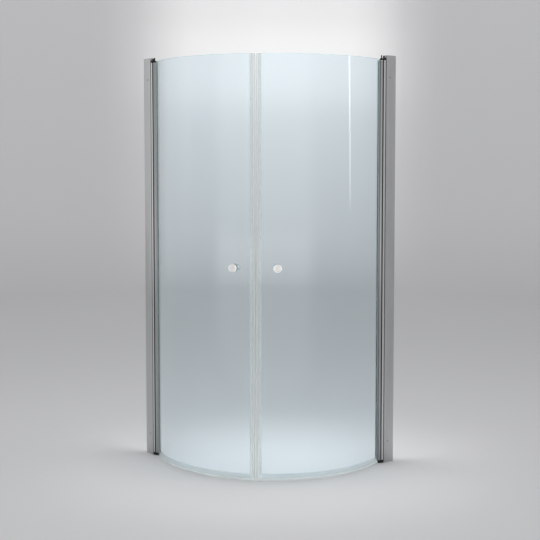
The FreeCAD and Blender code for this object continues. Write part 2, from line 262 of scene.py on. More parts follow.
def carved(mesh, cutter_mesh):
    """Cuts one closed mesh out of another."""
    cutter = bpy.data.objects.new("cutter", cutter_mesh)
    bpy.context.scene.collection.objects.link(cutter)

    def cut(helper):
        step = helper.modifiers.new("cut", "BOOLEAN")
        step.operation = "DIFFERENCE"
        step.solver = "EXACT"
        step.object = cutter

    result = baked(mesh, cut)
    bpy.data.objects.remove(cutter)
    return result


# %% Left and right
ACROSS_DIAGONAL = Matrix(((0, -1, 0, 0), (-1, 0, 0, 0), (0, 0, 1, 0), (0, 0, 0, 1)))


def other_side(mesh):
    """Mirror image in the plan's diagonal, with its faces outwards again."""
    image = mesh.copy()
    image.transform(ACROSS_DIAGONAL)
    image.flip_normals()
    return image


def place(name, mesh, body, node, finish=None):
    """Shows a mesh as a piece that rides on a body and stands for a measured solid."""
    if finish is not None:
        mesh.materials.clear()
        mesh.materials.append(finish)
    piece = bpy.data.objects.new(name, smoothed(mesh))
    bpy.context.scene.collection.objects.link(piece)
    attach(piece, body)
    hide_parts(node)
    return piece


def place_pair(name, mesh, node, finish=None, on_door=False):
    """The left piece and its mirror image on the right."""
    for side, shape in (("left", mesh), ("right", other_side(mesh))):
        body = f"{side}_door" if on_door else "enclosure_frame"
        place(f"{side}_{name}", shape, body, f"{side}_{node}", finish)
    print(f"{name}: {len(mesh.polygons)} faces a side")


# %% [markdown]
# ## Finishes
# Every finish is made of nodes, so it holds at any distance. Most share one recipe:
# noise in the object's own coordinates shifts the colour and the roughness a little
# and raises a fine grain. Stretching the noise along Z turns it into the drawn
# lines of an extrusion. Constants go straight on the shader's own sockets.

# %% The shared recipe
def new_finish(name):
    finish = bpy.data.materials.new(name)
    finish.use_nodes = True
    finish.node_tree.nodes.clear()
    return finish, finish.node_tree


def node(tree, kind, inputs=(), **settings):
    """Adds a node, sets its properties, and sets or links its inputs."""
    made = tree.nodes.new(kind)
    for key, value in settings.items():
        setattr(made, key, value)
    for key, value in dict(inputs).items():
        if isinstance(value, bpy.types.NodeSocket):
            tree.links.new(value, made.inputs[key])
        else:
            made.inputs[key].default_value = value
    return made


def calculated(tree, operation, *values):
    return node(tree, "ShaderNodeMath", dict(enumerate(values)), operation=operation).outputs[0]


def noise(tree, stretch, detail=4.0):
    """Noise in the object's coordinates, with its own scale along each axis."""
    where = node(tree, "ShaderNodeTexCoord").outputs["Object"]
    mapped = node(tree, "ShaderNodeMapping", {"Vector": where, "Scale": stretch})
    return node(tree, "ShaderNodeTexNoise",
                {"Vector": mapped.outputs["Vector"], "Scale": 1.0, "Detail": detail,
                 "Roughness": 0.55}).outputs["Fac"]


def blend_colour(tree, amount, dark, light):
    ramp = node(tree, "ShaderNodeValToRGB", {"Fac": amount})
    ramp.color_ramp.elements[0].position = 0.3
    ramp.color_ramp.elements[0].color = (*dark, 1.0)
    ramp.color_ramp.elements[1].position = 0.7
    ramp.color_ramp.elements[1].color = (*light, 1.0)
    return ramp.outputs["Color"]


def spread(tree, amount, low, high):
    return node(tree, "ShaderNodeMapRange", {"Value": amount, "From Min": 0.3, "From Max": 0.7,
                                             "To Min": low, "To Max": high}).outputs["Result"]


def raised(tree, amount, height):
    return node(tree, "ShaderNodeBump", {"Height": amount, "Strength": 1.0,
                                         "Distance": height}).outputs["Normal"]


def grained(name, dark, light, grain, roughness, height, metallic=0.0, broad=(7, 7, 3), **fixed):
    """Opaque finish: broad mottling in colour, fine grain in roughness and relief."""
    finish, tree = new_finish(name)
    fine = noise(tree, grain)
    mottled = noise(tree, broad, detail=2.0)
    mixed = calculated(tree, "MULTIPLY", calculated(tree, "ADD", fine, mottled), 0.5)
    inputs = {"Base Color": blend_colour(tree, mixed, dark, light),
              "Roughness": spread(tree, mixed, *roughness),
              "Normal": raised(tree, fine, height), "Metallic": metallic}
    inputs.update({key.replace("_", " "): value for key, value in fixed.items()})
    skin = node(tree, "ShaderNodeBsdfPrincipled", inputs)
    node(tree, "ShaderNodeOutputMaterial", {"Surface": skin.outputs["BSDF"]})
    return finish


# %% Metals and plastics
def anodised(name, low, high):
    """Drawn aluminium between two shades of grey: its anodised tone on the channel, painted
    highlight on the frame copy and painted shade on the door copy.
    """
    return grained(name, (low, low + 0.005, low + 0.01), (high, high + 0.005, high + 0.01),
                   (900, 900, 2.5), (0.26, 0.36), 0.00002, metallic=1.0)


channel_aluminium = anodised("channel_aluminium", 0.53, 0.63)
# A lighter copy of the same aluminium: painted highlight on the frame's lip.
frame_aluminium_painted_highlight = anodised("frame_aluminium_painted_highlight", 0.70, 0.80)
# A darker copy of the same aluminium: painted shade on the hinge tube.
door_aluminium_painted_shade = anodised("door_aluminium_painted_shade", 0.40, 0.46)
cap_plastic = grained("cap_plastic", (0.27, 0.275, 0.28), (0.33, 0.335, 0.34),
                      (2200, 2200, 2200), (0.42, 0.55), 0.00006)
black_rubber = grained("black_rubber", (0.006, 0.006, 0.007), (0.016, 0.016, 0.017),
                       (900, 900, 240), (0.55, 0.75), 0.00005, Specular_IOR_Level=0.25)
black_moulding = grained("black_moulding", (0.008, 0.008, 0.009), (0.016, 0.016, 0.018),
                         (1600, 1600, 1600), (0.32, 0.46), 0.00005, Specular_IOR_Level=0.25)
blackened_steel = grained("blackened_steel", (0.012, 0.012, 0.013), (0.03, 0.03, 0.032),
                          (1400, 1400, 500), (0.28, 0.42), 0.00003, metallic=0.6)
plain_steel = grained("plain_steel", (0.5, 0.5, 0.505), (0.62, 0.62, 0.625),
                      (1500, 1500, 300), (0.2, 0.34), 0.00002, metallic=1.0)
dull_steel = grained("dull_steel", (0.34, 0.34, 0.345), (0.42, 0.42, 0.425),
                     (1500, 1500, 1500), (0.3, 0.42), 0.00002, metallic=1.0)
white_nylon = grained("white_nylon", (0.74, 0.75, 0.73), (0.82, 0.825, 0.81),
                      (800, 800, 800), (0.34, 0.46), 0.00003,
                      Subsurface_Weight=0.25, Subsurface_Scale=0.002)
glazing_rubber = grained("glazing_rubber", (0.50, 0.54, 0.53), (0.58, 0.62, 0.61),
                         (900, 900, 160), (0.45, 0.62), 0.00004)
magnet_rubber = grained("magnet_rubber", (0.90, 0.885, 0.885), (0.96, 0.945, 0.945),
                        (900, 900, 2.5), (0.5, 0.65), 0.00002, broad=(7, 7, 1))
knob_polish = grained("knob_polish", (0.90, 0.90, 0.895), (0.96, 0.96, 0.955),
                      (500, 500, 500), (0.05, 0.11), 0.000004, metallic=1.0, broad=(60, 60, 60))
# A darker copy of the knob metal: painted shade on the outer knobs' flanks.
knob_flank_painted_shade = grained("knob_flank_painted_shade", (0.30, 0.30, 0.295), (0.38, 0.38, 0.375),
                     (500, 500, 500), (0.12, 0.2), 0.000006, metallic=1.0, broad=(60, 60, 60))

# %% [markdown]
# A thin pane bends no light that the eye would notice, so the glass is a tinted
# see-through shader with a clear reflection over it: weak face on, strong at a
# glance. Only the ground edges and the soft seals have a share of body colour. At an
# edge the eye looks along the glass and sees how green it is.

# %% Glass and clear seal
def glance(tree, head_on):
    """Share of light that a clear surface reflects. It rises steeply towards a glance."""
    facing = node(tree, "ShaderNodeLayerWeight", {"Blend": 0.5}).outputs["Facing"]
    rise = calculated(tree, "POWER", facing, 5.0)
    return node(tree, "ShaderNodeMapRange", {"Value": rise, "To Min": head_on}).outputs["Result"]


def see_through(name, tint, roughness, body=0.0, body_colour=(0.8, 0.8, 0.8), head_on=0.04,
                grain=(3, 3, 1.2), height=0.000006):
    """Tinted see-through finish with a clear reflection and an optional milky body."""
    finish, tree = new_finish(name)
    mottled = noise(tree, grain, detail=2.0)
    pale = tuple(min(1.0, value * 1.012) for value in tint)
    clear = node(tree, "ShaderNodeBsdfTransparent",
                 {"Color": blend_colour(tree, mottled, tint, pale)})
    surface = clear.outputs["BSDF"]
    if body:
        dark = tuple(value * 0.97 for value in body_colour)
        milky = node(tree, "ShaderNodeBsdfDiffuse",
                     {"Color": blend_colour(tree, mottled, dark, body_colour)})
        surface = node(tree, "ShaderNodeMixShader", {0: body, 1: surface, 2: milky.outputs["BSDF"]})
        surface = surface.outputs[0]
    relief = raised(tree, mottled, height)
    gloss = node(tree, "ShaderNodeBsdfAnisotropic",
                 {"Color": (1.0, 1.0, 1.0, 1.0), "Roughness": spread(tree, mottled, *roughness),
                  "Normal": relief})
    both = node(tree, "ShaderNodeMixShader", {0: glance(tree, head_on), 1: surface,
                                              2: gloss.outputs["BSDF"]})
    node(tree, "ShaderNodeOutputMaterial", {"Surface": both.outputs[0]})
    return finish


pane_glass = see_through("pane_glass", (0.918, 0.966, 0.988), (0.004, 0.016))
pane_edge = see_through("pane_edge", (0.78, 0.91, 0.90), (0.04, 0.1),
                        body=0.4, body_colour=(0.62, 0.78, 0.76))
clear_seal = see_through("clear_seal", (0.984, 0.992, 0.991), (0.07, 0.11),
                         body=0.19, body_colour=(0.885, 0.92, 0.92), grain=(900, 900, 2.5))

# %% [markdown]
# The inserts in the knobs are faced on a lathe. Each turned piece carries how far a
# point lies from its axis, and noise along that one number draws the tool's rings.
# The insert is a little warmer inside a bright border.

# %% Faced metal
warm_disc_radius, border_radius = 8.6, 9.4


def faced_metal():
    finish, tree = new_finish("faced_metal")
    radius = node(tree, "ShaderNodeAttribute", attribute_name="turned_radius").outputs["Fac"]
    rings = node(tree, "ShaderNodeTexNoise", {"W": radius, "Scale": 2600.0, "Detail": 3.0},
                 noise_dimensions="1D").outputs["Fac"]
    border = node(tree, "ShaderNodeMapRange",
                  {"Value": radius, "From Min": warm_disc_radius * MM,
                   "From Max": border_radius * MM}).outputs["Result"]
    warm = blend_colour(tree, rings, (0.84, 0.815, 0.78), (0.90, 0.88, 0.85))
    bright = blend_colour(tree, rings, (0.93, 0.93, 0.92), (0.97, 0.97, 0.96))
    colour = node(tree, "ShaderNodeMixRGB", {"Fac": border, "Color1": warm, "Color2": bright})
    inputs = {"Base Color": colour.outputs["Color"], "Metallic": 0.85,
              "Roughness": spread(tree, rings, 0.26, 0.4), "Normal": raised(tree, rings, 0.00002)}
    skin = node(tree, "ShaderNodeBsdfPrincipled", inputs)
    node(tree, "ShaderNodeOutputMaterial", {"Surface": skin.outputs["BSDF"]})
    return finish


knob_face = faced_metal()

# %% [markdown]
# ## Bending flat pieces onto the glass circle
# The panes are sagged over a mould and the seals follow them, so all of these pieces
# obey one rule. They are made flat, and a Geometry Nodes tree bends them: X becomes
# the run along the circle, Y the offset from the glass and Z stays the height. The
# tree's inputs are the circle's sizes, so one tree serves every curved piece.

# %% Trees with named inputs
def tree_with(name, **kinds):
    """A new tree that takes a mesh and named inputs, listed here by their kind."""
    tree = bpy.data.node_groups.new(name, "GeometryNodeTree")
    tree.interface.new_socket("Geometry", in_out="INPUT", socket_type="NodeSocketGeometry")
    for kind, labels in kinds.items():
        for label in labels:
            tree.interface.new_socket(label, in_out="INPUT", socket_type=f"NodeSocket{kind}")
    tree.interface.new_socket("Geometry", in_out="OUTPUT", socket_type="NodeSocketGeometry")
    return tree, node(tree, "NodeGroupInput").outputs


def coated(tree, geometry, finish):
    """Turns copies into real geometry and gives it one finish."""
    real = node(tree, "GeometryNodeRealizeInstances", {"Geometry": geometry})
    return node(tree, "GeometryNodeSetMaterial",
                {"Geometry": real.outputs[0], "Material": finish}).outputs[0]


def joined(tree, first, second):
    join = node(tree, "GeometryNodeJoinGeometry", {"Geometry": first})
    tree.links.new(second, join.inputs[0])
    return join.outputs[0]


def shaped(mesh, tree, values):
    """The mesh as a tree leaves it, with the tree's inputs set by their identifiers."""
    def add_tree(helper):
        step = helper.modifiers.new("shaped", "NODES")
        step.node_group = tree
        for item in tree.interface.items_tree:
            if item.in_out == "INPUT" and item.name in values:
                step[item.identifier] = values[item.name]

    return baked(mesh, add_tree)


# %% The bending tree
def bending_tree():
    tree, given = tree_with("bend_onto_glass_circle", Material=("Finish", "Edge finish"),
                            Float=("Glass radius", "Centre X", "Centre Y", "Seam angle", "Side"))
    flat = node(tree, "ShaderNodeSeparateXYZ",
                {0: node(tree, "GeometryNodeInputPosition").outputs[0]}).outputs
    run = calculated(tree, "MULTIPLY", flat["X"], given["Side"])
    turn = calculated(tree, "DIVIDE", run, given["Glass radius"])
    angle = calculated(tree, "SUBTRACT", given["Seam angle"], turn)
    arm = calculated(tree, "ADD", given["Glass radius"], flat["Y"])
    x, y = (calculated(tree, "MULTIPLY_ADD", calculated(tree, way, angle), arm, given[centre])
            for way, centre in (("COSINE", "Centre X"), ("SINE", "Centre Y")))
    place_on_arc = node(tree, "ShaderNodeCombineXYZ", {0: x, 1: y, 2: flat["Z"]}).outputs[0]
    moved = node(tree, "GeometryNodeSetPosition", {"Geometry": given["Geometry"],
                                                   "Position": place_on_arc}).outputs[0]
    is_edge = node(tree, "GeometryNodeInputNamedAttribute", {"Name": "ground_edge"},
                   data_type="BOOLEAN").outputs["Attribute"]
    edges = node(tree, "GeometryNodeSetMaterial",
                 {"Geometry": coated(tree, moved, given["Finish"]), "Selection": is_edge,
                  "Material": given["Edge finish"]})
    node(tree, "NodeGroupOutput", {"Geometry": edges.outputs[0]})
    return tree


bend_onto_glass_circle = bending_tree()


def bent(mesh, side, finish, edge_finish=None):
    """A flat mesh (run, offset, height) bent onto the left (1) or right (-1) door."""
    sizes = {"Glass radius": glass_radius * MM, "Centre X": (arc_center - half_span) * MM,
             "Centre Y": (half_span - arc_center) * MM, "Seam angle": -math.pi / 4,
             "Side": float(side), "Finish": finish, "Edge finish": edge_finish or finish}
    result = shaped(mesh, bend_onto_glass_circle, sizes)
    if side < 0:
        result.flip_normals()
    return result


def place_bent_pair(name, mesh, node_name, finish, edge_finish=None):
    for side, sign in (("left", 1), ("right", -1)):
        shape = bent(mesh, sign, finish, edge_finish)
        place(f"{side}_{name}", shape, f"{side}_door", f"{side}_{node_name}")
    print(f"{name}: {len(mesh.polygons)} faces a side")


def along_glass(offset, height, run):
    return Vector((run, offset, height))


def even_stops(start, end, pitch):
    """Distances strictly between start and end, no more than pitch apart."""
    count = math.ceil((end - start) / pitch)
    return [start + (end - start) * i / count for i in range(1, count)]


# %% [markdown]
# ## Door glass
# Each door is a 6 mm toughened pane with ground and polished edges. Its tall thin
# section is pulled along the run with a stop every few millimetres, so that it bends
# smoothly, and all its edges are eased like the real arris. Faces on the edges get
# the greener finish.

# %% Door glass
glass_half = 3.0
glass_foot, glass_top = 12.5, 1980.0
glass_seam_run = 13.05
glass_hinge_run = hinge_run - 10.5
arris = 0.7


def pane_mesh():
    section = rounded_box(-glass_half, glass_foot, glass_half, glass_top, arris, steps=3)
    shape = bmesh.new()
    pulled(shape, [section], glass_seam_run, glass_hinge_run, ease=arris, along=along_glass,
           stops=even_stops(glass_seam_run + 1, glass_hinge_run - 1, 6.0))
    is_edge = shape.faces.layers.bool.new("ground_edge")
    shape.normal_update()
    for face in shape.faces:
        face[is_edge] = abs(face.normal.y) < 0.99
    return mesh_of("pane", shape)


place_bent_pair("glass_pane", pane_mesh(), "door_glass", pane_glass, pane_edge)

# %% [markdown]
# ## Closing profiles and magnets
# Where the doors meet, each glass edge wears a clear plastic profile with a magnet
# strip in its head. The noses taper, so one door can swing past the other.

# %% Closing profile
seam_gap = 0.9
nose_depth = 4.0
nose_rounding = 0.9
nose_half_angle = math.atan(clip_half / nose_depth)
nose_apex_run = seam_gap / 2 - nose_rounding * (1 / math.sin(nose_half_angle) - 1)
head_run = nose_apex_run + nose_depth
clip_grip = 14.0
clip_end_run = glass_seam_run + clip_grip
slot_half = 3.1
magnet_start, magnet_end, magnet_half = 3.65, 8.65, 2.0
magnet_fit = 0.1
closing_foot, magnet_inset = 1.5, 1.5

closing = bmesh.new()
pulled(closing, [
    rounded([(nose_apex_run, 0, nose_rounding), (head_run, -clip_half, 0.5),
             (clip_end_run, -clip_half, 0.4), (clip_end_run, -slot_half, 0.4),
             (glass_seam_run, -slot_half, 0.4), (glass_seam_run, slot_half, 0.4),
             (clip_end_run, slot_half, 0.4), (clip_end_run, clip_half, 0.4),
             (head_run, clip_half, 0.5)]),
    rounded_box(magnet_start - magnet_fit, -magnet_half - magnet_fit,
                magnet_end + magnet_fit, magnet_half + magnet_fit, 0.4),
], closing_foot, glass_top, ease=0.25)
place_bent_pair("closing_profile", mesh_of("closing", closing), "magnet_profile",
                clear_seal)

magnet = bmesh.new()
pulled(magnet, [rounded_box(magnet_start, -magnet_half, magnet_end, magnet_half, 0.4)],
       closing_foot + magnet_inset, glass_top - magnet_inset, ease=0.3)
place_bent_pair("magnet_bar", mesh_of("magnet", magnet), "magnet_strip",
                magnet_rubber)

# %% [markdown]
# ## Drip seal
# A soft clear seal is pushed onto the lower glass edge. Two wings grip the glass, and
# two fins hang below, one under the glass and one at its outer face. The outline's
# corners are written as offset from the glass, height and rounding.

# %% Drip seal
seal_start = clip_end_run + 0.5
seal_end = hinge_run - 22.5

drip = bmesh.new()
pulled(drip, [rounded([
    (-0.7, 2.5, 0.3), (0.5, 2.5, 0.3), (0.6, 9.2, 0.4), (3.3, 9.2, 0.5), (3.1, 6.2, 0.8),
    (3.3, 2.5, 0.4), (4.5, 2.5, 0.4), (4.4, 7.0, 1.2), (4.5, 12.0, 1.0), (4.5, 31.0, 2.5),
    (4.0, 34.0, 0.4), (3.1, 34.0, 0.3), (3.1, 12.4, 0.5), (-3.1, 12.4, 0.5), (-3.1, 34.0, 0.3),
    (-4.0, 34.0, 0.4), (-4.5, 31.0, 2.5), (-4.5, 10.0, 1.2), (-3.4, 9.2, 0.4), (-0.6, 9.2, 0.4)],
    steps=3)], seal_start, seal_end, ease=0.2, along=along_glass,
    stops=even_stops(seal_start + 1, seal_end - 1, 6.0))
place_bent_pair("drip_seal", mesh_of("drip", drip), "bottom_seal", clear_seal)

# %% [markdown]
# ## Wall channel
# A U-shaped extrusion is screwed to the wall through four holes. Its visible face has
# a shallow flute near the mouth. The holes are drilled afterwards with a Boolean.
# Plastic plugs close its ends.

# %% Wall channel
def drilled(mesh, holes):
    """Drills round holes given as (radius, start, end, base, direction)."""
    drills = bmesh.new()
    for radius, start, end, base, direction in holes:
        turned(drills, [(start, 0), (start, radius), (end, radius), (end, 0)], base, direction, 32)
    return carved(mesh, mesh_of("drills", drills))


channel_reach, channel_width = 62.0, 26.0
channel_web, channel_leg = 2.0, 1.8
far_leg = channel_width - channel_leg
flute = [(45.2, 0, 0.2), (47.6, 0.55, 0.4), (49.4, 0.55, 0.4), (50.2, 0, 0.2)]
locking_reach, locking_margin = 39.0, 106.5
locking_heights = (locking_margin, total_height - locking_margin)
wall_hole_heights = (100, 700, 1300, 1900)
wall_hole_radius, locking_hole_radius = 2.75, 2.2

channel = bmesh.new()
pulled(channel, [rounded([
    (0, 0, 0.5), *flute, (channel_reach, 0, 0.5), (channel_reach, channel_leg, 0.4),
    (channel_web, channel_leg, 0.6), (channel_web, far_leg, 0.6), (channel_reach, far_leg, 0.4),
    (channel_reach, channel_width, 0.5), (0, channel_width, 0.5)], steps=3)],
    0, total_height, ease=0.3)
holes = [(wall_hole_radius, -1, 3, plan_point(0, channel_width / 2, z), Vector((1, 0, 0)))
         for z in wall_hole_heights]
holes += [(locking_hole_radius, -1, 3, plan_point(locking_reach, 0, z), Vector((0, 1, 0)))
          for z in locking_heights]
place_pair("channel", drilled(wall_mesh("channel", channel), holes), "wall_channel",
           channel_aluminium)

# %% Channel end caps
cap_plate, plug_length, plug_wall = 3.0, 8.0, 1.5
plug = (channel_web + 0.1, channel_leg + 0.1, channel_reach - 0.5, far_leg - 0.1)
plug_hollow = (plug[0] + plug_wall, plug[1] + plug_wall, plug[2] - plug_wall, plug[3] - plug_wall)

caps = bmesh.new()
for plate_low, plug_low in ((0, cap_plate),
                            (total_height - cap_plate, total_height - cap_plate - plug_length)):
    pulled(caps, [rounded([(channel_web, channel_leg, 0.5), (channel_reach, channel_leg, 0.8),
                           (channel_reach, far_leg, 0.8), (channel_web, far_leg, 0.5)])],
           plate_low, plate_low + cap_plate, ease=0.5)
    pulled(caps, [rounded_box(*plug, 0.4), rounded_box(*plug_hollow, 0.4)],
           plug_low, plug_low + plug_length)
place_pair("end_caps", wall_mesh("caps", caps), "channel_caps", cap_plastic)

# %% [markdown]
# ## Frame profile
# It slides in the channel to take up a wall that is out of true. Only its raised head
# shows, with a lip that covers the gap at the hinge. Inside is a port for the screws.
# Black strips close the step to the channel and the gap to the turning door. The
# gap strip also hooks over the lip: a black edge there that is painted shade for the hinge gap.

# %% Frame profile
frame_low, frame_high = 16.0, 1976.0
frame_reach, frame_outer, frame_inner = 20.0, 2.1, 23.9
frame_wall = 1.6
head_reach, head_outer = 66.5, 0.6
lip_reach, lip_depth = 78.0, 3.7
seat_reach = 74.0
screw_reach, screw_depth = 69.0, 13.0
port_radius, port_bore = 3.85, 1.95

hollow_end = seat_reach - frame_wall
port_bulge = math.sqrt(port_radius ** 2 - (hollow_end - screw_reach) ** 2)
port_turn = math.atan2(port_bulge, hollow_end - screw_reach)
port_arc = arc(screw_reach, screw_depth, port_radius, -port_turn,
               2 * port_turn - 2 * math.pi, 20)
hollow = [Vector((frame_reach + frame_wall, frame_outer + frame_wall)),
          Vector((hollow_end, frame_outer + frame_wall)), *port_arc,
          Vector((hollow_end, frame_inner - frame_wall)),
          Vector((frame_reach + frame_wall, frame_inner - frame_wall))]
profile = bmesh.new()
pulled(profile, [
    rounded([(frame_reach, frame_outer, 0.4), (head_reach, frame_outer, 0.2),
             (head_reach, head_outer, 0.4), (lip_reach, head_outer, 0.7),
             (lip_reach, lip_depth, 0.5), (seat_reach, lip_depth, 0.2),
             (seat_reach, frame_inner, 0.5), (frame_reach, frame_inner, 0.4)]),
    hollow, full_circle(screw_reach, screw_depth, port_bore)], frame_low, frame_high, ease=0.15)
place_pair("frame_section", wall_mesh("profile", profile), "frame_profile",
           frame_aluminium_painted_highlight)

# %% Rubber strips of the frame
strip = bmesh.new()
pulled(strip, [rounded([(channel_reach + 0.05, head_outer, 0.3), (head_reach, head_outer, 0.3),
                        (head_reach, frame_outer, 0.2), (channel_reach + 0.05, frame_outer, 0.2)])],
       frame_low, frame_high, ease=0.2)
place_pair("channel_strip", wall_mesh("strip", strip), "channel_seal",
           black_rubber)

tube_radius = 8.5
wiper_gap = 0.4
wiper_radius = tube_radius + wiper_gap
wiper_half = 6.0
hook_reach, hook_tip, hook_depth = 78.9, 0.9, 4.5
wiper_turn = math.asin(wiper_half / wiper_radius)
seat = [Vector((seat_reach, hinge_depth - wiper_half)),
        Vector((seat_reach + 0.4, hinge_depth - wiper_half)),
        *arc(hinge_reach, hinge_depth, wiper_radius, math.pi + wiper_turn, -2 * wiper_turn, 16),
        Vector((seat_reach + 0.4, hinge_depth + wiper_half)),
        Vector((seat_reach, hinge_depth + wiper_half))]
wiper = bmesh.new()
pulled(wiper, [seat], frame_low, frame_high, ease=0.15)
# The hook is a black edge over the lip's end, painted shade for the hinge gap.
hook_start, hook_foot, hook_back = seat_reach + 0.02, lip_depth + 0.05, lip_reach + 0.03
pulled(wiper, [rounded([(hook_start, hook_foot, 0.2), (hook_back, hook_foot, 0.1),
                        (hook_back, hook_tip, 0.3), (hook_reach, hook_tip, 0.4),
                        (hook_reach, hook_depth, 0.4), (hook_start, hook_depth, 0.2)])],
       frame_low, frame_high, ease=0.15)
place_pair("hinge_wiper", wall_mesh("wiper", wiper), "hinge_seal", black_rubber)

# %% [markdown]
# ## Door profile
# A round tube turns about the pivots and carries a jaw for the glass. Its outline is
# one line: along the jaw, round the tube and back, with the bore as a hole.

# %% Door profile
door_low, door_high = 17.8, 1974.2
jaw_reach, jaw_back, jaw_half, pocket_half = 21.0, 5.0, 6.0, 4.2
jaw_shoulder = 15.0
tube_bore_radius = 6.5
hinge_point = plan_point(hinge_reach, hinge_depth)


def around_hinge(start, end, radius, steps):
    """Points round the hinge axis, from one direction to another the long way."""
    first = math.atan2(start.y - hinge_point.y, start.x - hinge_point.x)
    last = math.atan2(end.y - hinge_point.y, end.x - hinge_point.x)
    turn = (last - first) % (2 * math.pi)
    if turn < math.pi:
        turn -= 2 * math.pi
    return arc(hinge_point.x, hinge_point.y, radius, first, turn, steps)[1:-1]


def on_arc(offset, run):
    return arc_point(offset, run).to_2d()


outer_meet = on_arc(jaw_half, hinge_run
                    - math.sqrt(tube_radius ** 2 - (jaw_half - hinge_offset) ** 2))
inner_meet = on_arc(hinge_offset - math.sqrt(tube_radius ** 2 - jaw_back ** 2),
                    hinge_run - jaw_back)
pocket_end = hinge_run - 9.3
lip_run = hinge_run - jaw_reach
shoulder_run = hinge_run - jaw_shoulder
jaw_outline = [on_arc(jaw_half, lip_run + 0.5), on_arc(jaw_half, shoulder_run), outer_meet,
               *around_hinge(outer_meet, inner_meet, tube_radius, 48), inner_meet,
               on_arc(-jaw_half + 0.6, hinge_run - jaw_back),
               on_arc(-jaw_half, hinge_run - jaw_back - 0.6), on_arc(-jaw_half, shoulder_run),
               on_arc(-jaw_half, lip_run + 0.5), on_arc(-jaw_half + 0.5, lip_run),
               on_arc(-pocket_half - 0.4, lip_run), on_arc(-pocket_half, lip_run + 0.4),
               on_arc(-pocket_half, pocket_end), on_arc(pocket_half, pocket_end),
               on_arc(pocket_half, lip_run + 0.4), on_arc(pocket_half + 0.4, lip_run),
               on_arc(jaw_half - 0.5, lip_run)]
tube = bmesh.new()
pulled(tube, [jaw_outline, full_circle(hinge_point.x, hinge_point.y, tube_bore_radius, 48)],
       door_low, door_high, ease=0.2)
place_pair("door_tube", mesh_of("tube", tube), "door_profile",
           door_aluminium_painted_shade, on_door=True)

# %% Glazing gasket
gasket_run = lip_run - 1.0
gasket_back, gasket_floor = pocket_end - 0.05, glass_hinge_run + 0.1
gasket_half, bead_half = 3.1, 4.4
gasket = bmesh.new()
pulled(gasket, [rounded([
    (gasket_run, gasket_half, 0.2), (gasket_run, bead_half, 0.5),
    (lip_run + 0.2, pocket_half, 0.2), (gasket_back, pocket_half, 0.5),
    (gasket_back, -pocket_half, 0.5), (lip_run + 0.2, -pocket_half, 0.2),
    (gasket_run, -bead_half, 0.5), (gasket_run, -gasket_half, 0.2),
    (gasket_floor, -gasket_half, 0.2), (gasket_floor, gasket_half, 0.2)])],
    door_low, door_high, ease=0.2)
place_bent_pair("pane_gasket", mesh_of("gasket", gasket), "glazing_gasket",
                glazing_rubber)

# %% [markdown]
# ## Pivots
# Black moulded brackets close the frame profile's ends. They are pulled from a plate
# outline with a round nose, and each holds a black steel pin. Nylon bushes in the
# door tube turn round these pins.

# %% Brackets
bracket_nose_radius = 8.3
heel_reach, heel_depth = 64.5, 20.0
bracket_low, bracket_high = 2.0, 1985.0
pin_radius = 3.0
head_pocket_radius, head_pocket_depth = 3.65, 5.05


def bracket_outline():
    nose = arc(hinge_reach, hinge_depth, bracket_nose_radius, -math.pi / 2, math.pi, 24)
    heel = rounded([(heel_reach, heel_depth, 1.0), (heel_reach, head_outer, 0.8),
                    (lip_reach, head_outer, 0.8), (lip_reach, lip_depth, 0.5),
                    (lip_reach + 2, lip_depth, 0)])
    corner = [Vector((seat_reach + 0.5, heel_depth + 0.3)), Vector((seat_reach, heel_depth))]
    return heel[:-1] + nose + corner


def bracket_mesh(low, high, counterbore):
    shape = bmesh.new()
    pulled(shape, [bracket_outline(), full_circle(hinge_reach, hinge_depth, pin_radius),
                   full_circle(screw_reach, screw_depth, port_bore)], low, high, ease=0.5)
    mesh = wall_mesh("bracket", shape)
    if counterbore:
        base = plan_point(screw_reach, screw_depth, low)
        mesh = drilled(mesh, [(head_pocket_radius, -1, head_pocket_depth, base, UP)])
    return mesh


place_pair("pivot_bracket_top", bracket_mesh(frame_high, bracket_high, False),
           "hinge_bracket_top", black_moulding)
place_pair("pivot_bracket_bottom", bracket_mesh(bracket_low, frame_low, True),
           "hinge_bracket_bottom", black_moulding)

# %% Pins and bushes
pin_spans = ((bracket_low, 34.0), (1958.0, total_height))
bush_bore_radius, bush_radius, bush_length = 3.05, 6.47, 20.0
flange_radius, flange_height = 8.0, 1.5

pins = bmesh.new()
for low, high in pin_spans:
    turned(pins, [(low, 0), (low, pin_radius - 0.5), (low + 0.5, pin_radius),
                  (high - 0.6, pin_radius), (high - 0.17, pin_radius - 0.17),
                  (high, pin_radius - 0.6), (high, 0)], hinge_point, UP, 32)
place_pair("pivot_pins", mesh_of("pins", pins), "hinge_pins", blackened_steel)

bush_outline = rounded([
    (-flange_height, bush_bore_radius, 0.2), (-flange_height, flange_radius, 0.4),
    (0, flange_radius, 0.2), (0, bush_radius, 0.2), (bush_length, bush_radius, 0.4),
    (bush_length, bush_bore_radius, 0.3)], steps=2)
bushes = bmesh.new()
for height, way in ((door_low, UP), (door_high, -UP)):
    turned(bushes, bush_outline, hinge_point + UP * height, way, 48)
place_pair("pivot_bushes", mesh_of("bushes", bushes), "hinge_bushes", white_nylon,
           on_door=True)

# %% [markdown]
# ## Screws
# The bracket screws stand proud at the top. A Geometry Nodes tree repeats one small
# ridge round their heads, because a knurl is the same tooth many times over. The
# hexagon sockets are cut with a Boolean.

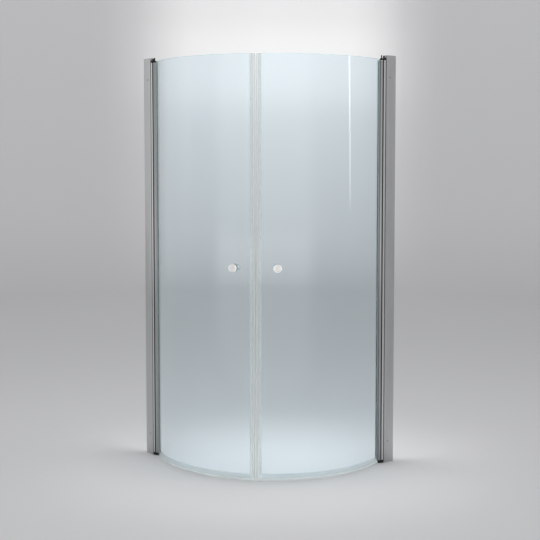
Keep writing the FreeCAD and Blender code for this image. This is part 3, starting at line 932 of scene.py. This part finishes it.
# %% The knurling tree
def knurling_tree():
    tree, given = tree_with("knurled_heads", Vector=("Centre",), Int=("Ridges",),
                            Float=("Head radius", "Ridge height", "Ridge width"),
                            Material=("Finish",))
    circle = node(tree, "GeometryNodeMeshCircle", {"Vertices": given["Ridges"],
                                                   "Radius": given["Head radius"]})
    ridge = node(tree, "GeometryNodeMeshCylinder", {"Vertices": 6, "Radius": given["Ridge width"],
                                                    "Depth": given["Ridge height"]})
    share = calculated(tree, "DIVIDE", node(tree, "GeometryNodeInputIndex").outputs[0],
                       given["Ridges"])
    facing = node(tree, "ShaderNodeCombineXYZ",
                  {2: calculated(tree, "MULTIPLY", share, 2 * math.pi)})
    placed = node(tree, "GeometryNodeInstanceOnPoints",
                  {"Points": circle.outputs[0], "Instance": ridge.outputs[0],
                   "Rotation": facing.outputs[0]})
    moved = node(tree, "GeometryNodeTransform", {"Geometry": placed.outputs[0],
                                                 "Translation": given["Centre"]})
    both = joined(tree, given["Geometry"], moved.outputs[0])
    node(tree, "NodeGroupOutput", {"Geometry": coated(tree, both, given["Finish"])})
    return tree


knurled_heads = knurling_tree()


def knurled(mesh, centre, height):
    """Adds a ring of ridges round a head, in metres."""
    sizes = {"Centre": centre * MM, "Ridges": 30, "Head radius": 3.5 * MM,
             "Ridge height": height * MM, "Ridge width": 0.22 * MM, "Finish": blackened_steel}
    return shaped(mesh, knurled_heads, sizes)


# %% Bracket screws
head_radius, shank_radius, socket_radius = 3.55, 1.9, 1.6
top_screw = (1954.0, bracket_high, 1998.0)        # tip, under the head, end of the head
bottom_screw = (38.0, 7.05, 2.05)
socket_spans = ((1995.0, 1999.0), (1.0, 5.05))
ridge_middles_and_lengths = ((1991.5, 11.6), (4.6, 3.9))

screw_base = plan_point(screw_reach, screw_depth)
screws, sockets = bmesh.new(), bmesh.new()
for tip, under_head, head_end in (top_screw, bottom_screw):
    turned(screws, rounded([(tip, 0, 0), (tip, shank_radius, 0.5), (under_head, shank_radius, 0.2),
                            (under_head, head_radius, 0.3), (head_end, head_radius, 0.6),
                            (head_end, 0, 0)]), screw_base, UP, 48)
for low, high in socket_spans:
    pulled(sockets, [full_circle(screw_base.x, screw_base.y, socket_radius, 6)], low, high)
screws_mesh = carved(mesh_of("screws", screws), mesh_of("sockets", sockets))
for middle, length in ridge_middles_and_lengths:
    screws_mesh = knurled(screws_mesh, screw_base + UP * middle, length)
place_pair("bracket_cap_screws", screws_mesh, "bracket_screws", blackened_steel)

# %% Locking screws
button_radius, button_rise, lock_length, lock_socket_radius = 4.2, 1.8, 8.0, 1.5

lockers, lock_sockets = bmesh.new(), bmesh.new()
for height in locking_heights:
    base = plan_point(locking_reach, 0, height)
    turned(lockers, rounded([(-button_rise, 0, 0), (0.05 - button_rise, 2.9, 1.0),
                             (-0.6, button_radius, 0.5), (0, button_radius, 0.2),
                             (0, shank_radius, 0.2), (lock_length, shank_radius, 0.5),
                             (lock_length, 0, 0)]), base, Vector((0, 1, 0)), 48)

    def inwards(a, b, distance, base=base):
        return base + Vector((a, distance, -b))

    pulled(lock_sockets, [full_circle(0, 0, lock_socket_radius, 6)], -3.0, -0.4, along=inwards)
lockers_mesh = carved(mesh_of("lockers", lockers), mesh_of("lock_sockets", lock_sockets))
place_pair("locking_buttons", lockers_mesh, "locking_screws", dull_steel)

# %% [markdown]
# ## Knobs
# A pair of turned metal knobs clamps the glass through one hole. They have a waisted
# neck and a recessed face with an insert. Turned pieces are outlines spun on their
# axis, with each edge broken by a small radius, which is what catches the light. The
# flanks of the outer knobs are darker than their faces: painted shade.

# %% Knobs
knob_run, knob_height = 100.0, 998.0
knob_radius, knob_length = 19.5, 25.0
foot_radius, neck_radius = 12.0, 10.0
recess_radius, recess_floor = 15.5, 22.0
stud_bore_radius, stud_bore_depth = 3.05, 12.0
insert_radius = 15.4
washer_radius, washer_thickness = 9.0, 1.0
sleeve_radius, sleeve_bore_radius, sleeve_end = 4.9, 3.1, -3.5
flank_limit = 0.6            # cosine between face direction and axis, below which it is flank
knob_way = outward(knob_run)
washer_sagitta = washer_radius ** 2 / (2 * (glass_radius - glass_half))


def knob_seat(sign):
    """Where a knob's foot stands: outside on the washer, inside clear of the curved glass."""
    stand = glass_half + washer_thickness
    return arc_point(stand if sign > 0 else -(stand + washer_sagitta), knob_run, knob_height)


knob_outline = rounded([
    (0, stud_bore_radius, 0.2), (0, foot_radius, 0.4), (1, foot_radius, 0.5),
    (5, neck_radius, 3.0), (11, knob_radius, 2.0), (knob_length, knob_radius, 1.0),
    (knob_length, recess_radius, 0.5), (recess_floor, recess_radius, 0.3), (recess_floor, 0, 0),
    (stud_bore_depth, 0, 0), (stud_bore_depth, stud_bore_radius, 0.2)], steps=6)
for sign, word in ((1, "outer"), (-1, "inner")):
    grip = bmesh.new()
    turned(grip, knob_outline, knob_seat(sign), knob_way * sign, 96)
    grip_mesh = mesh_of("grip", grip)
    # The second finish is the painted shade on the outer knobs' flanks.
    for finish in (knob_polish, knob_flank_painted_shade):
        grip_mesh.materials.append(finish)
    for face in grip_mesh.polygons:
        is_flank = abs(face.normal.dot(knob_way)) < flank_limit
        face.material_index = int(sign > 0 and is_flank)
    place_pair(f"grip_{word}", grip_mesh, f"knob_{word}", on_door=True)

faces, washers = bmesh.new(), bmesh.new()
for sign in (1, -1):
    turned(faces, rounded([(recess_floor, 0, 0), (recess_floor, insert_radius, 0.2),
                           (23.5, insert_radius, 0.4), (23.6, 12, 3.0), (23.45, 0, 0)]),
           knob_seat(sign), knob_way * sign, 96)
    turned(washers, rounded([
        (0, sleeve_bore_radius, 0.1), (0, washer_radius, 0.2),
        (-washer_thickness, washer_radius, 0.3), (-washer_thickness, sleeve_radius, 0.2),
        (sleeve_end, sleeve_radius, 0.3), (sleeve_end, sleeve_bore_radius, 0.2)], steps=2),
        knob_seat(sign), knob_way * sign, 64)
place_pair("grip_faces", mesh_of("faces", faces), "knob_caps", knob_face,
           on_door=True)
place_pair("grip_washers", mesh_of("washers", washers), "knob_washers", white_nylon,
           on_door=True)

# %% [markdown]
# ## Knob stud
# The stud is rolled thread from end to end. The thread is a helix, which is a path,
# so Geometry Nodes sweep a small pointed section along a spiral round the core.

# %% Stud with its thread
stud_half, core_radius = 15.0, 2.6
thread_turns, thread_length, thread_root, thread_ridge = 28.0, 28.0, 2.62, 0.36


def thread_tree():
    tree, given = tree_with("rolled_thread", Float=("Turns", "Root radius", "Length", "Ridge"),
                            Material=("Finish",))
    root = given["Root radius"]
    helix = node(tree, "GeometryNodeCurveSpiral",
                 {"Resolution": 16, "Rotations": given["Turns"], "Start Radius": root,
                  "End Radius": root, "Height": given["Length"]})
    tooth = node(tree, "GeometryNodeCurvePrimitiveCircle",
                 {"Resolution": 4, "Radius": given["Ridge"]}, mode="RADIUS")
    swept = node(tree, "GeometryNodeCurveToMesh", {"Curve": helix.outputs[0],
                                                   "Profile Curve": tooth.outputs[0],
                                                   "Fill Caps": True})
    both = joined(tree, given["Geometry"], swept.outputs[0])
    node(tree, "NodeGroupOutput", {"Geometry": coated(tree, both, given["Finish"])})
    return tree


rolled_thread = thread_tree()


def threaded_stud():
    core = bmesh.new()
    turned(core, rounded([(0, 0, 0), (0, core_radius, 0.5), (2 * stud_half, core_radius, 0.5),
                          (2 * stud_half, 0, 0)]), Vector((0, 0, 0)), UP, 32)
    sizes = {"Turns": thread_turns, "Length": thread_length * MM, "Finish": plain_steel,
             "Root radius": thread_root * MM, "Ridge": thread_ridge * MM}
    mesh = shaped(mesh_of("core", core), rolled_thread, sizes)
    turn = UP.rotation_difference(knob_way).to_matrix().to_4x4()
    middle = arc_point(0, knob_run, knob_height) * MM
    mesh.transform(Matrix.Translation(middle) @ turn @ Matrix.Translation((0, 0, -stud_half * MM)))
    return mesh


place_pair("grip_stud", threaded_stud(), "knob_stud", plain_steel, on_door=True)

# %% [markdown]
# ## Studio
# A pale floor rises into a round wall, so that there is no horizon line from any
# side. Clear glass shows mostly what stands behind it and a little of what it
# mirrors, so the wall glows softly in a few places. Behind the doors the glow gets
# brighter with height. Low in front it is what the knobs mirror, high in front the
# hinge tubes, and on the left the left channel. Two soft lamps hang overhead, and a
# narrow upright one shows as a bright streak in the right pane only.

# %% Floor and backdrop
wall_height, wall_radius, wall_bend = 6.5, 8.5, 1.5          # metres


def profile_of(tree, value, low, high, stops):
    """A number that follows a value between low and high, from (value, number) stops."""
    share = node(tree, "ShaderNodeMapRange", {"Value": value, "From Min": low,
                                              "From Max": high})
    curve = node(tree, "ShaderNodeFloatCurve", {"Value": share.outputs[0]})
    points = curve.mapping.curves[0].points
    for index, (level, number) in enumerate(stops):
        where = ((level - low) / (high - low), number)
        if index in (0, len(stops) - 1):
            points[0 if index == 0 else -1].location = where
        else:
            points.new(*where)
    for point in points:
        point.handle_type = "AUTO_CLAMPED"
    curve.mapping.update()
    return curve.outputs[0]


# Each glow has its strength by height in metres and by direction in degrees, counted
# from straight in front of the doors, negative to the left.
glows = {
    "all_round": (((0, 0.05), (0.3, 0.075), (1.0, 0.12), (2.8, 0.155), (6.5, 0.2)),
                  ((-180, 1), (180, 1))),
    "behind": (((0, 0), (0.1, 0.03), (0.4, 0.09), (1.0, 0.145), (1.9, 0.25), (2.8, 0.44),
                (3.4, 0.35), (6.5, 0.28)),
               ((-180, 1), (-174, 0.88), (-172, 0.7), (-170, 0.42), (-167.5, 0.13), (-164, 0),
                (164, 0), (167.5, 0.16), (170, 0.56), (172, 0.84), (174, 0.96), (180, 1))),
    "low_in_front": (((0, 0), (0.12, 0.7), (0.5, 1.0), (0.9, 0.55), (1.3, 0), (6.5, 0)),
                     ((-180, 0), (-62, 0), (-44, 1), (25, 1), (50, 0), (180, 0))),
    "high_in_front": (((0, 0), (0.5, 0), (1.2, 0.36), (2.1, 0.3), (6.5, 0.25)),
                      ((-180, 0), (-36, 0), (-12, 1), (36, 1), (70, 0), (180, 0))),
    "from_left": (((0, 0), (0.5, 0.23), (2.5, 0.23), (6.5, 0.25)),
                  ((-180, 0), (-135, 0), (-118, 1), (-92, 1), (-74, 0), (180, 0))),
}


def studio_paint():
    """Pale paint with the glows added, each the product of its two profiles."""
    finish, tree = new_finish("studio_paint")
    where = node(tree, "ShaderNodeTexCoord").outputs["Object"]
    height = node(tree, "ShaderNodeSeparateXYZ", {0: where}).outputs["Z"]
    ahead, aside = (node(tree, "ShaderNodeVectorMath", {0: where, 1: way},
                         operation="DOT_PRODUCT").outputs["Value"]
                    for way in ((0.79, -0.61, 0.0), (0.61, 0.79, 0.0)))
    turn = calculated(tree, "ARCTAN2", aside, ahead)
    degrees = calculated(tree, "MULTIPLY", turn, 180 / math.pi)
    total = 0.0
    for by_height, by_direction in glows.values():
        total = calculated(tree, "MULTIPLY_ADD",
                           profile_of(tree, height, 0.0, wall_height, by_height),
                           profile_of(tree, degrees, -180.0, 180.0, by_direction), total)
    skin = node(tree, "ShaderNodeBsdfPrincipled",
                {"Base Color": (0.62, 0.62, 0.625, 1.0), "Roughness": 0.85,
                 "Emission Color": (1.0, 1.0, 1.0, 1.0), "Emission Strength": total})
    node(tree, "ShaderNodeOutputMaterial", {"Surface": skin.outputs["BSDF"]})
    return finish


def cove_mesh(turns=96, bend_steps=12):
    """Floor, quarter-round bend and wall, spun round the middle of the floor."""
    level = wall_radius - wall_bend
    path = [(0, 0), (0, level)]
    for i in range(1, bend_steps + 1):
        angle = math.pi / 2 * i / bend_steps
        path.append((wall_bend * (1 - math.cos(angle)), level + wall_bend * math.sin(angle)))
    path.append((wall_height, wall_radius))
    cove = bmesh.new()
    rings = []
    for height, radius in path:
        angles = [2 * math.pi * i / turns for i in range(turns if radius else 1)]
        rings.append([cove.verts.new(Vector((radius * math.cos(a), radius * math.sin(a), height))
                                     / MM) for a in angles])
    for ring, following in zip(rings, rings[1:]):
        for i in range(turns):
            j = (i + 1) % turns
            corners = [ring[i % len(ring)], following[i], following[j], ring[j % len(ring)]]
            cove.faces.new(list(dict.fromkeys(corners)))
    mesh = mesh_of("studio_cove", cove)
    mesh.shade_smooth()
    mesh.materials.append(studio_paint())
    return mesh


studio_cove = bpy.data.objects.new("studio_cove", cove_mesh())
bpy.context.scene.collection.objects.link(studio_cove)

# %% Sky and lamps
world = bpy.data.worlds.new("soft_sky")
bpy.context.scene.world = world
world.use_nodes = True
world.node_tree.nodes["Background"].inputs["Color"].default_value = (0.98, 0.99, 1.0, 1.0)
world.node_tree.nodes["Background"].inputs["Strength"].default_value = 0.51


def soft_lamp(name, where, aim, width, height, power, spread_angle=math.pi, mirrored=False):
    """An oval lamp that isn't seen itself, and shows in mirror images only if asked.

    Places and sizes are in metres, the power in watts.
    """
    lamp = bpy.data.lights.new(name, "AREA")
    lamp.shape = "ELLIPSE"
    lamp.size, lamp.size_y = width, height
    lamp.energy = power
    lamp.spread = spread_angle
    holder = bpy.data.objects.new(name, lamp)
    holder.location = where
    holder.rotation_euler = (Vector(aim) - Vector(where)).to_track_quat("-Z", "Y").to_euler()
    holder.visible_camera = False
    holder.visible_glossy = mirrored
    bpy.context.scene.collection.objects.link(holder)
    return holder


soft_lamp("overhead_soft", (0.2, -0.2, 3.2), (0.2, -0.2, 0), 1.6, 1.6, 33)
soft_lamp("overhead_pool", (0.12, 0.0, 3.4), (0.12, 0.0, 0), 0.9, 0.9, 2.8, math.radians(36))

# The narrow lamp is flagged off everything but the pane that mirrors it.
sliver = soft_lamp("tall_sliver", (3.40, 2.85, 2.4), (0.463, 0.135, 2.4), 0.17, 2.3, 4.0,
                   mirrored=True)
lit_panes = bpy.data.collections.new("lit_by_sliver")
lit_panes.objects.link(bpy.data.objects["right_glass_pane"])
sliver.light_linking.receiver_collection = lit_panes

# %% [markdown]
# ## Camera
# A long lens from the open side of the corner, a little above the middle of the
# glass and tilted slightly down, as in the photograph.

# %% Camera and colour
eye = bpy.data.cameras.new("eye")
eye.sensor_width = 36.0
eye.lens = 73.016
eye.shift_y = -0.065
camera = bpy.data.objects.new("eye", eye)
camera.location = (4.3082, -3.2973, 1.4905)
camera.rotation_euler = (math.radians(90 - 3.862), 0, math.radians(52.426))
bpy.context.scene.collection.objects.link(camera)
bpy.context.scene.camera = camera
bpy.context.scene.view_settings.view_transform = "Standard"
bpy.context.scene.cycles.transparent_max_bounces = 32
